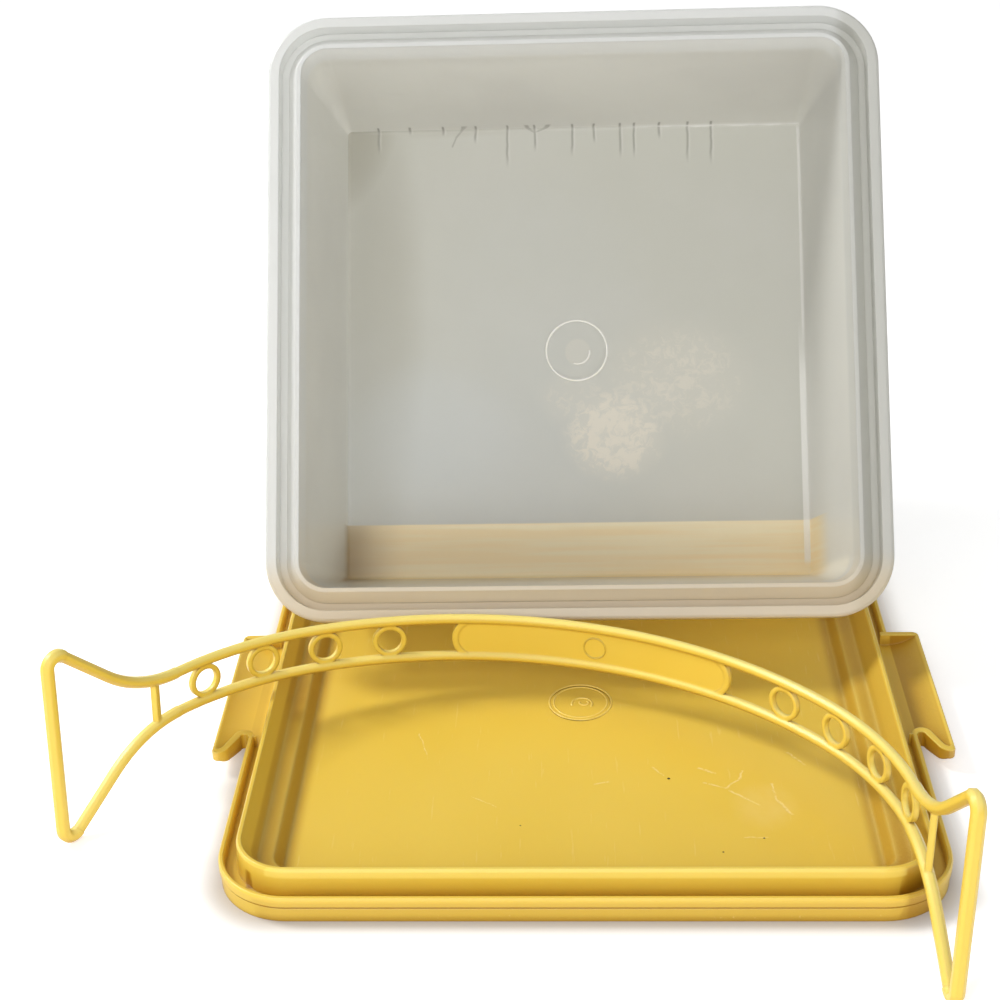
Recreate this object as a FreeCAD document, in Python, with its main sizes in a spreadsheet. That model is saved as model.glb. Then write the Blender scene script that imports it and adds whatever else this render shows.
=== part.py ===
"""Square cake carrier: a shallow tray with hooking ears, a deep translucent cover and a springy handle."""

import FreeCAD, Part
import math
import os
import re
import Sketcher

os.makedirs("parts", exist_ok=True)
doc = FreeCAD.newDocument("cake_carrier")
Vector = FreeCAD.Vector
Rotation = FreeCAD.Rotation
Placement = FreeCAD.Placement
AXIS_X = Vector(1, 0, 0)
AXIS_Y = Vector(0, 1, 0)
AXIS_Z = Vector(0, 0, 1)

# Lengths in millimetres. "half" sizes run from the middle line, "high" sizes from the table, and
# "out", "in" and "slant" sizes from the size that they are taken from below.
SIZES = {
    # Tray: the ring is the raised wall that the cover snaps over, the lip is the outer edge.
    "seal_half": 117.8,
    "ring_out": 1.2,
    "ring_foot": 0.2,
    "ring_top": 2.2,
    "ring_high": 16.6,
    "ring_wall": 2.1,
    "ring_slant": 7.0,
    "hollow_high": 11.4,
    "wall": 2.2,
    "ledge_out_high": 8.0,
    "ledge_wide": 5.0,
    "ledge_in_high": 7.2,
    "floor_slant": 3.5,
    "floor_thick": 2.4,
    "floor_bend": 3.9,
    "under_slant": 1.1,
    "lip_out": 6.7,
    "lip_high": 9.9,
    "lip_bead": 2.0,
    "lip_wall": 2.2,
    "channel_high": 5.0,
    "channel_thick": 2.0,
    "skirt_in": 0.5,
    "line_depth": 0.4,
    "line_low": 5.3,
    "line_wide": 1.0,
    "tray_mark_bend": 12.3,
    "mark_thick": 0.5,
    "mark_deep": 0.3,
    # Ears, seen from above; the front has a notch behind a hook, the rear ends square.
    "ear_out": 12.5,
    "ear_root": 0.9,
    "ear_rear": 39.5,
    "ear_rear_bend": 3.0,
    "ear_front": 32.2,
    "ear_round": 1.0,
    "notch_bend": 1.6,
    "hook_out": 6.2,
    "hook_long": 6.8,
    "tip_wide": 2.6,
    "tip_long": 10.4,
    "tip_deep": 2.8,
    "dish_foot_out": 1.0,
    "dish_turn_out": 0.3,
    "dish_turn_in": 0.5,
    "dish_turn_back": 0.9,
    "dish_turn_deep": 1.8,
    "dish_hook_out": 2.1,
    "dish_hook_back": 1.1,
    "dish_tip_out": 0.3,
    "dish_tip_back": 2.6,
    "dish_corner_back": 0.6,
    "band_wide": 2.2,
    "band_low": 4.2,
    "band_step": 2.0,
    "band_rise": 1.8,
    # Cover, mouth down at zero; the groove in its rim takes the tray's ring.
    "snap_gap": 0.4,
    "groove_gap": 0.6,
    "groove_deep": 7.8,
    "groove_land": 1.8,
    "flange_wall": 4.6,
    "flange_roof": 1.6,
    "flange_edge": 1.2,
    "flange_back_edge": 0.8,
    "bead_slant": 4.0,
    "bead_flat": 1.7,
    "rim_root": 0.7,
    "cover_deep": 82.4,
    "cover_wall": 1.5,
    "cover_edge_out": 2.6,
    "cover_edge_in": 1.5,
    "cover_mark_bend": 13.7,
    "cover_dot_bend": 6.0,
    "cover_mark_deep": 0.4,
    # Handle, lying flat: the arch is two arcs to each side of the middle and a straight end.
    "arch_mid_bend": 159.0,
    "arch_mid_run": 105.7,
    "arch_side_bend": 114.6,
    "arch_side_run": 60.2,
    "rail_thick": 3.7,
    "rail_half": 8.0,
    "flare_run": 56.5,
    "stirrup_half": 40.2,
    "stirrup_bend": 4.0,
    "flare_thick": 4.1,
    "stirrup_thick": 4.6,
    "loop_thick": 1.9,
    "loop_lap": 0.5,
    "strip_shift": 5.0,
    "loop_after_grip": 25.8,
    "loop_before_end": 7.9,
    "rib_after_end": 15.6,
    "rib_thick": 2.4,
    "grip_half": 55.7,
    "grip_bead_thick": 2.3,
    "grip_thick": 1.6,
    # How the pieces stand: the cover's foot in the tray, the handle against the cover's rim.
    "cover_left": 0.8,
    "cover_foot_in": 8.5,
    "handle_right": 1.3,
    "seat_gap": 0.45,
    "table_gap": 0.5,
    # Cuts run past the faces they open by this much, joined pieces lap by it.
    "overrun": 1.0,
}
# Angles in degrees.
ANGLES = {
    "cover_draft_angle": 6.23,
    "flare_angle": 39.86,
    "cover_turn_angle": -0.53,
    "cover_lean_angle": 34.24,
    "cover_roll_angle": -0.52,
    "handle_turn_angle": -15.2,
    "handle_lean_angle": -5.7,
}
# Sizes worked out from the ones above.
DERIVED = {
    "ring_half": "seal_half + ring_out",
    "ring_foot_half": "ring_half + ring_foot",
    "hollow_half": "ring_half - ring_wall",
    "ledge_out_half": "ring_half - ring_slant",
    "ledge_in_half": "ledge_out_half - ledge_wide",
    "floor_half": "ledge_in_half - floor_slant",
    "corner_bend": "floor_bend + seal_half - floor_half",
    "lip_half": "ring_half + lip_out",
    "lip_foot_half": "lip_half - lip_wall",
    "skirt_half": "lip_half - skirt_in",
    "line_high": "line_low + line_wide",
    "ear_half": "lip_half + ear_out",
    "ear_in": "lip_foot_half - ear_root",
    "hook_half": "lip_half + hook_out",
    "hook_front": "ear_front + hook_long",
    "tip_in": "ear_half - tip_wide",
    "tip_front": "ear_front + tip_long",
    "tip_back": "tip_front - tip_deep",
    "turn_end_half": "hook_half - dish_turn_back",
    "dish_half": "ear_half - ear_round",
    "dish_foot_half": "lip_foot_half + dish_foot_out",
    "dish_rise": "lip_high - channel_high",
    "dish_bend": "((dish_half - dish_foot_half) ^ 2 + dish_rise ^ 2) / (2 * dish_rise)",
    "groove_out": "ring_half + snap_gap",
    "groove_in_half": "ring_half - ring_top - groove_gap",
    "groove_straight": "groove_deep - groove_land",
    "flange_half": "groove_out + flange_wall",
    "flange_deep": "groove_deep + flange_roof",
    "bead_half": "groove_in_half - bead_slant",
    "mouth_half": "bead_half - bead_flat",
    "mouth_bend": "corner_bend - seal_half + mouth_half",
    "wall_slope": "tan(cover_draft_angle * 1 deg)",
    "cover_high": "cover_deep + cover_wall",
    "end_half": "mouth_half + cover_wall - cover_high * wall_slope",
    "end_bend": "mouth_bend + cover_wall - cover_high * wall_slope",
    "end_bend_in": "mouth_bend - cover_deep * wall_slope",
    "loop_bend": "rail_half - rail_thick / 2 + loop_lap - loop_thick / 2",
}
LOOP_COUNT = 4
RAIL_SIDES = 8
LOOP_SIDES = 4
SEAT_STEPS = 4
# The corners of an edge's blunt top, across and down from its outer upper corner, as shares of its thickness.
BEAD_SHARES = ((0, 0.42), (0.24, 0), (0.76, 0), (1, 0.42))
# The radii of the ears' arcs as shares of their chords.
HOOK_BEND_SHARE = 1.05
TIP_BEND_SHARE = 0.65
TURN_BEND_SHARE = 0.51
DISH_HOOK_BEND_SHARE = 1.13

sheet = doc.addObject("Spreadsheet::Sheet", "Sizes")
for row, (alias, size) in enumerate((SIZES | ANGLES).items(), start=1):
    sheet.set(f"A{row}", alias)
    sheet.set(f"B{row}", str(size))
    sheet.setAlias(f"B{row}", alias)
doc.recompute()


def spelled(formula):
    """The formula with each derived size written out in the sheet's own names."""
    names = r"\b(" + "|".join(DERIVED) + r")\b"
    text = str(formula)
    while re.search(names, text):
        text = re.sub(names, lambda word: f"({DERIVED[word.group()]})", text)
    return text


def linked(formula):
    """The formula in the sheet's own names, each pointing into the sheet."""
    return re.sub(r"[a-z]+_\w+|\bwall\b|overrun", lambda word: "Sizes." + word.group(), spelled(formula))


def size_of(formula):
    """The number that a formula of size names gives now."""
    found = sheet.evalExpression(spelled(formula))
    return float(getattr(found, "Value", found))


def bind(thing, **formulas):
    for name, formula in formulas.items():
        thing.setExpression(name, linked(formula))


def new_body(name):
    body = doc.addObject("PartDesign::Body", name)
    body.Label = name
    return body


def body_sketch(body, name, plane, lift="0"):
    """A sketch on one of the body's own origin planes, lifted off it along the plane's normal."""
    support = next(item for item in body.Origin.OriginFeatures if item.Role == plane)
    sketch = body.newObject("Sketcher::SketchObject", name)
    sketch.AttachmentSupport = [(support, "")]
    sketch.MapMode = "FlatFace"
    if lift != "0":
        sketch.setExpression("AttachmentOffset.Base.z", linked(lift))
    return sketch


def pin(sketch, edge, end, across, along):
    """Holds one end of an edge at its two formulas."""
    for kind, axis, formula in (("DistanceX", -2, across), ("DistanceY", -1, along)):
        if formula == "0":
            sketch.addConstraint(Sketcher.Constraint("PointOnObject", edge, end, axis))
            continue
        number = sketch.addConstraint(Sketcher.Constraint(kind, -1, 1, edge, end, size_of(formula)))
        sketch.setExpression(f"Constraints[{number}]", linked(formula))


def with_radius(corner, after):
    """The corner with its arc's radius as a formula."""
    if len(corner) == 2 or isinstance(corner[2], str):
        return corner
    chord = f"sqrt((({after[0]}) - ({corner[0]})) ^ 2 + (({after[1]}) - ({corner[1]})) ^ 2)"
    return (corner[0], corner[1], f"{corner[2]} * {chord}", corner[3])


def outline(sketch, corners):
    """A closed outline. A corner is (across, along) and, where an arc leaves it, the arc's radius
    with "left" or "right" for the way it turns. A radius that is a number is a share of the chord."""
    corners = [with_radius(corner, after) for corner, after in zip(corners, corners[1:] + corners[:1])]
    places = [Vector(size_of(corner[0]), size_of(corner[1]), 0) for corner in corners]
    ends = []
    for index, corner in enumerate(corners):
        start = places[index]
        finish = places[(index + 1) % len(places)]
        if len(corner) == 2:
            edge = sketch.addGeometry(Part.LineSegment(start, finish), False)
            ends.append((edge, 1, 2))
            continue
        bend = size_of(corner[2])
        turns_left = corner[3] == "left"
        run = finish - start
        side = Vector(-run.y, run.x, 0).normalize() * (1 if turns_left else -1)
        middle = (start + finish) * 0.5 + side * math.sqrt(max(bend**2 - (run.Length / 2) ** 2, 0))
        first, last = (start, finish) if turns_left else (finish, start)
        angles = [math.atan2(place.y - middle.y, place.x - middle.x) for place in (first, last)]
        if angles[1] < angles[0]:
            angles[1] += 2 * math.pi
        arc = Part.ArcOfCircle(Part.Circle(middle, AXIS_Z, bend), angles[0], angles[1])
        edge = sketch.addGeometry(arc, False)
        ends.append((edge, 1, 2) if turns_left else (edge, 2, 1))
    for index, (edge, head, _) in enumerate(ends):
        before, _, tail = ends[index - 1]
        sketch.addConstraint(Sketcher.Constraint("Coincident", before, tail, edge, head))
        pin(sketch, edge, head, corners[index][0], corners[index][1])
        if len(corners[index]) > 2:
            number = sketch.addConstraint(Sketcher.Constraint("Radius", edge, size_of(corners[index][2])))
            sketch.setExpression(f"Constraints[{number}]", linked(corners[index][2]))
    return sketch


def rounded_square(sketch, half, bend, starts=()):
    """A square with round corners; a path for a sweep also starts at a place on its right side."""
    near = f"({half}) - ({bend})"
    corners = list(starts)
    signs = ((1, 1), (-1, 1), (-1, -1), (1, -1))
    for across, along in signs:
        upright = (f"{across} * ({half})", f"{along} * ({near})")
        level = (f"{across} * ({near})", f"{along} * ({half})")
        pair = (upright, level) if across == along else (level, upright)
        corners += [(*pair[0], bend, "left"), pair[1]]
    return outline(sketch, corners)


def bead(outer, top, thick):
    """The blunt top of an edge, from its outer side over to its inner one."""
    return [(f"{outer} - {thick} * {across}", f"{top} - {thick} * {down}") for across, down in BEAD_SHARES]


def circles(sketch, *bends):
    for bend in bends:
        edge = sketch.addGeometry(Part.Circle(Vector(0, 0, 0), AXIS_Z, size_of(bend)), False)
        sketch.addConstraint(Sketcher.Constraint("Coincident", edge, 3, -1, 1))
        number = sketch.addConstraint(Sketcher.Constraint("Radius", edge, size_of(bend)))
        sketch.setExpression(f"Constraints[{number}]", linked(bend))
    return sketch


def feature(body, kind, name, profile, **formulas):
    made = body.newObject(kind, name)
    made.Profile = profile
    bind(made, **formulas)
    profile.Visibility = False
    return made


def swept(body, name, section, path):
    made = feature(body, "PartDesign::AdditivePipe", name, section)
    made.Spine = path
    return made


def flat_sketch(name, upright=False):
    """A free sketch, seen from above or, upright, from the front."""
    sketch = doc.addObject("Sketcher::SketchObject", name)
    if upright:
        sketch.Placement = Placement(Vector(0, 0, 0), Rotation(AXIS_X, 90))
    return sketch


def extruded(name, sketch, way, start, length):
    """A prism over the sketch, from start to start + length along the way."""
    prism = doc.addObject("Part::Extrusion", name)
    prism.Base = sketch
    prism.DirMode = "Custom"
    prism.Dir = way
    prism.Solid = True
    bind(prism, LengthFwd=f"({start}) + ({length})", LengthRev=f"-1 * ({start})")
    return prism


def joined(kind, name, base, tool):
    made = doc.addObject(kind, name)
    made.Base = base
    made.Tool = tool
    return made


def all_joined(name, pieces):
    made = doc.addObject("Part::MultiFuse", name)
    made.Shapes = pieces
    return made


def mirrored(name, piece, normal):
    made = doc.addObject("Part::Mirroring", name)
    made.Source = piece
    made.Normal = normal
    return made


def level_edges(solid, height):
    """Names of the edges that lie flat at a height."""
    return [
        f"Edge{number}"
        for number, edge in enumerate(solid.Shape.Edges, start=1)
        if all(abs(vertex.Z - height) < 0.01 for vertex in edge.Vertexes)
    ]


def rounded_edges(body, name, solid, height, bend):
    """Rounds the flat edge loops of a body's last solid at a height."""
    made = body.newObject("PartDesign::Fillet", name)
    made.Base = (solid, level_edges(solid, height))
    bind(made, Radius=bend)
    doc.recompute()
    return made


# Tray: one section carried round the square makes floor edge, ledge, ring, channel and lip.
tray_body = new_body("tray_body")
tray_path = rounded_square(
    body_sketch(tray_body, "tray_path", "XY_Plane"), "seal_half", "corner_bend", [("seal_half", "0")]
)
tray_section = outline(
    body_sketch(tray_body, "tray_section", "XZ_Plane"),
    [
        ("floor_half - overrun", "0"),
        ("floor_half + under_slant", "0"),
        ("ledge_in_half + under_slant", "ledge_in_high - wall"),
        ("ledge_out_half + under_slant", "ledge_out_high - wall"),
        ("hollow_half", "hollow_high"),
        ("hollow_half", "channel_high - channel_thick"),
        ("skirt_half - wall", "channel_high - channel_thick"),
        ("skirt_half - wall", "0"),
        ("skirt_half", "0"),
        ("skirt_half", "line_low"),
        ("skirt_half - line_depth", "line_low + line_depth / 2"),
        ("skirt_half - line_depth", "line_high - line_depth"),
        ("lip_half", "line_high"),
        *bead("lip_half", "lip_high", "lip_bead"),
        ("lip_foot_half", "channel_high"),
        ("ring_foot_half", "channel_high"),
        *bead("ring_half", "ring_high", "ring_top"),
        ("ledge_out_half", "ledge_out_high"),
        ("ledge_in_half", "ledge_in_high"),
        ("floor_half", "floor_thick"),
        ("floor_half - overrun", "floor_thick"),
    ],
)
swept(tray_body, "tray_wall", tray_section, tray_path)
floor_sketch = rounded_square(
    body_sketch(tray_body, "floor_sketch", "XY_Plane"),
    "floor_half",
    "floor_bend",
)
feature(tray_body, "PartDesign::Pad", "tray_floor", floor_sketch, Length="floor_thick")
mark_sketch = circles(
    body_sketch(tray_body, "tray_mark_sketch", "XY_Plane", "floor_thick"),
    "tray_mark_bend",
    "tray_mark_bend - mark_thick",
)
feature(tray_body, "PartDesign::Pocket", "tray_mark", mark_sketch, Length="mark_deep")

# Ears: the lip opens into a dish that ends in a hooked, beaded edge.
ear_plan = outline(
    flat_sketch("ear_plan"),
    [
        ("ear_in", "-1 * ear_front"),
        ("lip_half", "-1 * ear_front", "notch_bend", "right"),
        ("lip_half + notch_bend", "notch_bend - ear_front", "notch_bend", "right"),
        ("lip_half + 2 * notch_bend", "-1 * ear_front"),
        ("hook_half", "-1 * hook_front", HOOK_BEND_SHARE, "left"),
        ("tip_in", "-1 * tip_front", TIP_BEND_SHARE, "left"),
        ("ear_half", "-1 * tip_back"),
        ("ear_half", "ear_rear - ear_rear_bend", "ear_rear_bend", "left"),
        ("ear_half - ear_rear_bend", "ear_rear"),
        ("ear_in", "ear_rear"),
    ],
)
dish_plan = outline(
    flat_sketch("dish_plan"),
    [
        ("ear_in - overrun", "dish_turn_in - ear_front"),
        ("lip_foot_half + dish_turn_out", "dish_turn_in - ear_front", TURN_BEND_SHARE, "right"),
        ("turn_end_half", "dish_turn_deep - ear_front"),
        ("hook_half + dish_hook_out", "dish_hook_back - hook_front", DISH_HOOK_BEND_SHARE, "left"),
        ("tip_in + dish_tip_out", "dish_tip_back - tip_front"),
        ("dish_half", "dish_corner_back - tip_back"),
        ("dish_half", "ear_rear - band_wide"),
        ("ear_in - overrun", "ear_rear - band_wide"),
    ],
)
ear_section = outline(
    flat_sketch("ear_section", upright=True),
    [
        ("ear_in", "channel_high - channel_thick"),
        ("dish_foot_half", "channel_high - channel_thick", "dish_bend + channel_thick", "left"),
        (
            "ear_half",
            "channel_high + dish_bend - sqrt((dish_bend + channel_thick) ^ 2"
            " - (ear_half - dish_foot_half) ^ 2)",
        ),
        ("ear_half", "lip_high - ear_round", "ear_round", "left"),
        ("dish_half", "lip_high", "dish_bend", "right"),
        ("dish_foot_half", "channel_high"),
        ("ear_in", "channel_high"),
    ],
)
band_section = outline(
    flat_sketch("band_section", upright=True),
    [
        ("ear_in", "band_low"),
        ("turn_end_half", "band_low"),
        ("turn_end_half + band_step", "band_low + band_rise"),
        ("ear_half", "band_low + band_rise"),
        ("ear_half", "lip_high - ear_round", "ear_round", "left"),
        ("ear_half - ear_round", "lip_high"),
        ("ear_in", "lip_high"),
    ],
)
ear_length = "ear_rear + tip_front + 2 * overrun"
plan_prism = extruded("ear_plan_prism", ear_plan, AXIS_Z, "0", "lip_high + overrun")
dish_prism = extruded("dish_prism", dish_plan, AXIS_Z, "0", "lip_high + overrun")
ear_prism = extruded("ear_prism", ear_section, -AXIS_Y, "-1 * ear_rear - overrun", ear_length)
band_prism = extruded("band_prism", band_section, -AXIS_Y, "-1 * ear_rear - overrun", ear_length)
ear_plate = joined("Part::Common", "ear_plate", ear_prism, plan_prism)
band_plan = joined("Part::Cut", "band_plan", plan_prism, dish_prism)
ear_band = joined("Part::Common", "ear_band", band_prism, band_plan)
ear_right = joined("Part::Fuse", "ear_right", ear_plate, ear_band)
ear_left = mirrored("ear_left", ear_right, AXIS_X)
lip_opening = doc.addObject("Part::Box", "lip_opening")
bind(
    lip_opening,
    **{
        "Length": "lip_wall + 2 * overrun",
        "Width": "ear_rear - band_wide + ear_front - dish_turn_in",
        "Height": "lip_high",
        "Placement.Base.x": "lip_foot_half - overrun",
        "Placement.Base.y": "dish_turn_in - ear_front",
        "Placement.Base.z": "channel_high",
    },
)
lip_opening_left = mirrored("lip_opening_left", lip_opening, AXIS_X)
open_right = joined("Part::Cut", "open_right", tray_body, lip_opening)
open_both = joined("Part::Cut", "open_both", open_right, lip_opening_left)
tray = all_joined("base_tray", [open_both, ear_right, ear_left])

# Cover: thin drafted walls with a swept rim whose groove takes the tray's ring.
end_round = "min(cover_edge_out; 0.85 * end_bend)"
floor_round = "min(cover_edge_in; 0.85 * end_bend_in)"
cover = new_body("cover")
shell_sketch = rounded_square(
    body_sketch(cover, "shell_sketch", "XY_Plane"), "mouth_half + cover_wall", "mouth_bend + cover_wall"
)
shell = feature(
    cover,
    "PartDesign::Pad",
    "cover_shell",
    shell_sketch,
    Length="cover_high",
    TaperAngle="-1 * cover_draft_angle",
)
doc.recompute()
rounded_edges(cover, "cover_end_round", shell, size_of("cover_high"), end_round)
rim_path = rounded_square(
    body_sketch(cover, "rim_path", "XY_Plane"), "seal_half", "corner_bend", [("seal_half", "0")]
)
rim_section = outline(
    body_sketch(cover, "rim_section", "XZ_Plane"),
    [
        ("mouth_half + rim_root", "0"),
        ("bead_half", "0"),
        ("groove_in_half", "groove_straight"),
        ("groove_in_half", "groove_deep"),
        ("groove_out", "groove_deep"),
        ("groove_out", "0"),
        ("flange_half - flange_edge", "0"),
        ("flange_half - 0.3 * flange_edge", "0.3 * flange_edge"),
        ("flange_half", "flange_edge"),
        ("flange_half", "flange_deep - flange_back_edge"),
        ("flange_half - 0.3 * flange_back_edge", "flange_deep - 0.3 * flange_back_edge"),
        ("flange_half - flange_back_edge", "flange_deep"),
        ("mouth_half + rim_root - flange_deep * wall_slope", "flange_deep"),
    ],
)
swept(cover, "cover_rim", rim_section, rim_path)
hollow_sketch = rounded_square(body_sketch(cover, "hollow_sketch", "XY_Plane"), "mouth_half", "mouth_bend")
hollow = feature(
    cover,
    "PartDesign::Pocket",
    "cover_hollow",
    hollow_sketch,
    Length="cover_deep",
    TaperAngle="-1 * cover_draft_angle",
)
hollow.Reversed = True
doc.recompute()
rounded_edges(cover, "cover_floor_round", hollow, size_of("cover_deep"), floor_round)
cover_mark_sketch = circles(
    body_sketch(cover, "cover_mark_sketch", "XY_Plane", "cover_high"),
    "cover_mark_bend",
    "cover_mark_bend - 2 * mark_thick",
    "cover_dot_bend",
)
feature(cover, "PartDesign::Pocket", "cover_mark", cover_mark_sketch, Length="cover_mark_deep")
doc.recompute()


# Handle: a flat arch bent from the middle, ending in two wide stirrups.
arch_parts = [(size_of(f"arch_{part}_bend"), size_of(f"arch_{part}_run")) for part in ("mid", "side")]
arch_run = sum(run for _, run in arch_parts)
rail_half = size_of("rail_half")
strip_shift = size_of("strip_shift")
flare_run = size_of("flare_run")
flare_angle = math.radians(size_of("flare_angle"))
stirrup_half = size_of("stirrup_half")
stirrup_bend = size_of("stirrup_bend")


def level(heading):
    """The direction along the strip at a heading."""
    return Vector(math.cos(heading), -math.sin(heading), 0)


def outward(heading):
    """The direction out of the strip's convex face at a heading."""
    return Vector(math.sin(heading), math.cos(heading), 0)


def arch(run):
    """The place on the arch's middle line at a run from the centre, and the heading there."""
    side = -1 if run < 0 else 1
    left = abs(run)
    place = Vector(0, 0, 0)
    heading = 0.0
    for bend, part_run in arch_parts:
        step = min(left, part_run)
        centre = place - outward(heading) * bend
        heading += step / bend
        place = centre + outward(heading) * bend
        left -= step
    place = place + level(heading) * left
    return Vector(side * place.x, place.y, 0), side * heading


def on_arch(run, height):
    return arch(run)[0] + AXIS_Z * height


handle_pieces = []


def radial(run):
    """Turns a solid's own Z to point out of the strip, its X along the strip."""
    heading = arch(run)[1]
    return Rotation(AXIS_Z, -math.degrees(heading)) * Rotation(AXIS_X, -90)


def rod_section(name, place, heading, side, thick, sides):
    """A rod's many-sided section, square to its heading, with a flat toward a side."""
    section = doc.addObject("Part::RegularPolygon", f"{name}_section")
    section.Polygon = sides
    bind(section, Circumradius=f"{thick} / 2 / cos(180 deg / {sides})")
    facing = Rotation(side, heading.cross(side), heading, "ZXY")
    section.Placement = Placement(place, facing * Rotation(AXIS_Z, 180 / sides))
    return section


def turned_rod(name, section, centre, axis, angle):
    rod = doc.addObject("Part::Revolution", name)
    rod.Source = section
    rod.Base = centre
    rod.Axis = axis
    rod.Angle = math.degrees(angle)
    rod.Solid = True
    handle_pieces.append(rod)


def straight_rod(name, place, heading, side, thick, sides, length):
    section = rod_section(name, place, heading, side, thick, sides)
    handle_pieces.append(extruded(name, section, heading, "0", str(length)))


def bent_rail(name, start, heading, inward, bend, angle, thick="rail_thick"):
    """A piece of rail bent toward inward by an angle; returns where and which way it ends."""
    radius = size_of(bend)
    centre = start + inward * radius
    section = rod_section(name, start, heading, inward, thick, RAIL_SIDES)
    turned_rod(name, section, centre, heading.cross(inward), angle)
    new_heading = heading * math.cos(angle) + inward * math.sin(angle)
    new_inward = inward * math.cos(angle) - heading * math.sin(angle)
    return centre - new_inward * radius, new_heading, new_inward


def loop(name, run, bend, thick, angle, from_side=AXIS_X):
    """A ring, or a part of one, lying in the strip at a run, started from a side of its own frame."""
    turn = radial(run)
    axis = turn.multVec(AXIS_Z)
    side = turn.multVec(from_side)
    start = on_arch(run, 0) + side * size_of(bend)
    section = rod_section(name, start, axis.cross(side), side, thick, LOOP_SIDES)
    turned_rod(name, section, on_arch(run, 0), axis, angle)


# On the flattened strip the flare is an arc, a straight and a tight corner into the bar.
flare_rise = stirrup_half - rail_half
flare_bend = flare_run * math.sin(flare_angle) - flare_rise * math.cos(flare_angle)
flare_bend /= 1 - math.cos(flare_angle)
flare_length = (flare_rise - flare_bend * (1 - math.cos(flare_angle))) / math.sin(flare_angle)
corner_reach = stirrup_bend * math.tan((flare_angle + math.pi / 2) / 2)
bar_half = stirrup_half - corner_reach

place = Vector(0, 0, rail_half)
heading = AXIS_X
inward = -AXIS_Y
for part, (bend, run) in zip(("mid", "side"), arch_parts):
    place, heading, inward = bent_rail(
        f"rail_{part}", place, heading, inward, f"arch_{part}_bend", run / bend
    )
place, heading, inward = bent_rail(
    "rail_flare", place, heading, AXIS_Z, str(flare_bend), flare_angle, "flare_thick"
)
straight_length = flare_length - corner_reach
straight_rod("rail_straight", place, heading, inward, "flare_thick", RAIL_SIDES, straight_length)
place, heading, inward = bent_rail(
    "rail_corner",
    place + heading * straight_length,
    heading,
    -1 * inward,
    "stirrup_bend",
    flare_angle + math.pi / 2,
    "stirrup_thick",
)
straight_rod("rail_bar", place, heading, inward, "stirrup_thick", RAIL_SIDES, bar_half)
rail_quarter = all_joined("rail_quarter", handle_pieces)
rail_lower = mirrored("rail_lower", rail_quarter, AXIS_Z)
rail_right = joined("Part::Fuse", "rail_right", rail_quarter, rail_lower)
rail_left = mirrored("rail_left", rail_right, AXIS_X)
handle_pieces = [rail_right, rail_left]

SIDES = ((-1, "left"), (1, "right"))
first_loop = size_of("grip_half + loop_after_grip")
loop_step = (arch_run - size_of("loop_before_end") - first_loop) / (LOOP_COUNT - 1)
for side, word in SIDES:
    for number in range(LOOP_COUNT):
        run = side * (first_loop + number * loop_step) + strip_shift
        loop(f"loop_{word}_{number + 1}", run, "loop_bend", "loop_thick", 2 * math.pi)
    rib_out = size_of("rib_after_end") + side * strip_shift
    rib_half = rail_half + flare_bend - math.sqrt(flare_bend**2 - rib_out**2)
    rib_foot = on_arch(side * (arch_run + rib_out), -rib_half)
    straight_rod(f"rib_{word}", rib_foot, AXIS_Z, AXIS_X, "rib_thick", LOOP_SIDES, 2 * rib_half)
    grip_end = side * size_of("grip_half - rail_half") + strip_shift
    bead_side = AXIS_Y if side < 0 else -AXIS_Y
    loop(f"grip_bead_{word}", grip_end, "rail_half", "grip_bead_thick", math.pi, bead_side)
    disc_turn = radial(grip_end)
    grip_disc = doc.addObject("Part::Cylinder", f"grip_end_{word}")
    bind(grip_disc, Radius="rail_half", Height="grip_thick")
    disc_foot = on_arch(grip_end, 0) - disc_turn.multVec(AXIS_Z) * size_of("grip_thick / 2")
    grip_disc.Placement = Placement(disc_foot, disc_turn)
    handle_pieces.append(grip_disc)

grip_turn = math.degrees(size_of("(grip_half - rail_half) / arch_mid_bend"))
shift_turn = math.degrees(size_of("strip_shift / arch_mid_bend"))
grip_shells = []
for name, radius in (("grip_outer", "grip_thick / 2"), ("grip_inner", "-1 * grip_thick / 2")):
    shell_part = doc.addObject("Part::Cylinder", name)
    bind(shell_part, Radius=f"arch_mid_bend + {radius}", Height="2 * rail_half")
    shell_part.Angle = 2 * grip_turn
    shell_part.Placement = Placement(
        Vector(0, -size_of("arch_mid_bend"), -rail_half), Rotation(AXIS_Z, 90 - grip_turn - shift_turn)
    )
    grip_shells.append(shell_part)
handle_pieces.append(joined("Part::Cut", "grip_panel", *grip_shells))
handle = all_joined("carry_handle", handle_pieces)
doc.recompute()


def turned(name):
    """A piece's turn about the upright, after its lean and roll."""
    return Rotation(AXIS_Z, size_of(f"{name}_turn_angle"))


def seated(piece, seat, way):
    """Slides a piece along a way until it lies the seat gap away from its seat."""
    for _ in range(SEAT_STEPS):
        spare = piece.Shape.distToShape(seat.Shape)[0] - size_of("seat_gap")
        piece.Placement = Placement(piece.Placement.Base + way * spare, piece.Placement.Rotation)


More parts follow.
